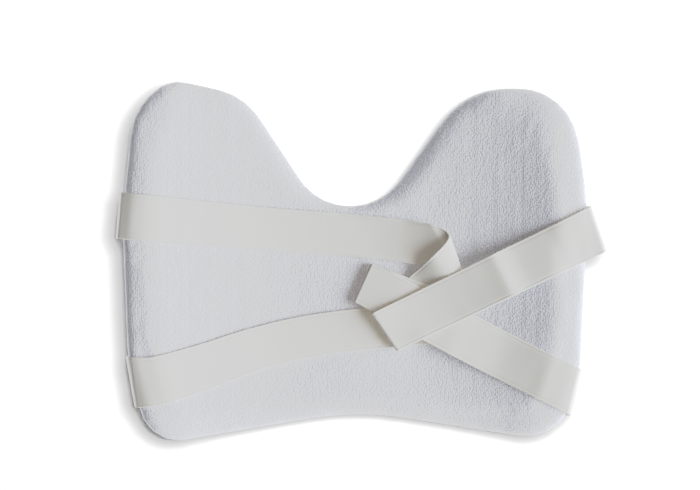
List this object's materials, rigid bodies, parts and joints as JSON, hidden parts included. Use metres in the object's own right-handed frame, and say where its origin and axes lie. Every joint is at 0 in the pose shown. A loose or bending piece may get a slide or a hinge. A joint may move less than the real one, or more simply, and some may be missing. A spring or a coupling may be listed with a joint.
{
  "type": "cricket chest guard",
  "caption": "Curved towelling-covered foam pad with a neck notch and flared lobes, with elastic straps that wrap round its side edges and lie folded on its back; protects a batter's ribs.",
  "frame": {"origin": "a point in the middle of the flat stretch of the front face that the guard lies on", "axes": "+X to the wearer's side on the picture's right, across the chest; +Y up to the neck; +Z out of the towelling back"},
  "size_m": [0.3454, 0.25, 0.0446],
  "materials": {
    "towelling": "white terry towelling over soft foam",
    "elastic": "warm white plain woven elastic with fine selvedges"
  },
  "bodies": {
    "root": {"chest_pad": "towelling", "upper_strap": "elastic", "lower_strap": "elastic"}
  },
  "joints": []
}
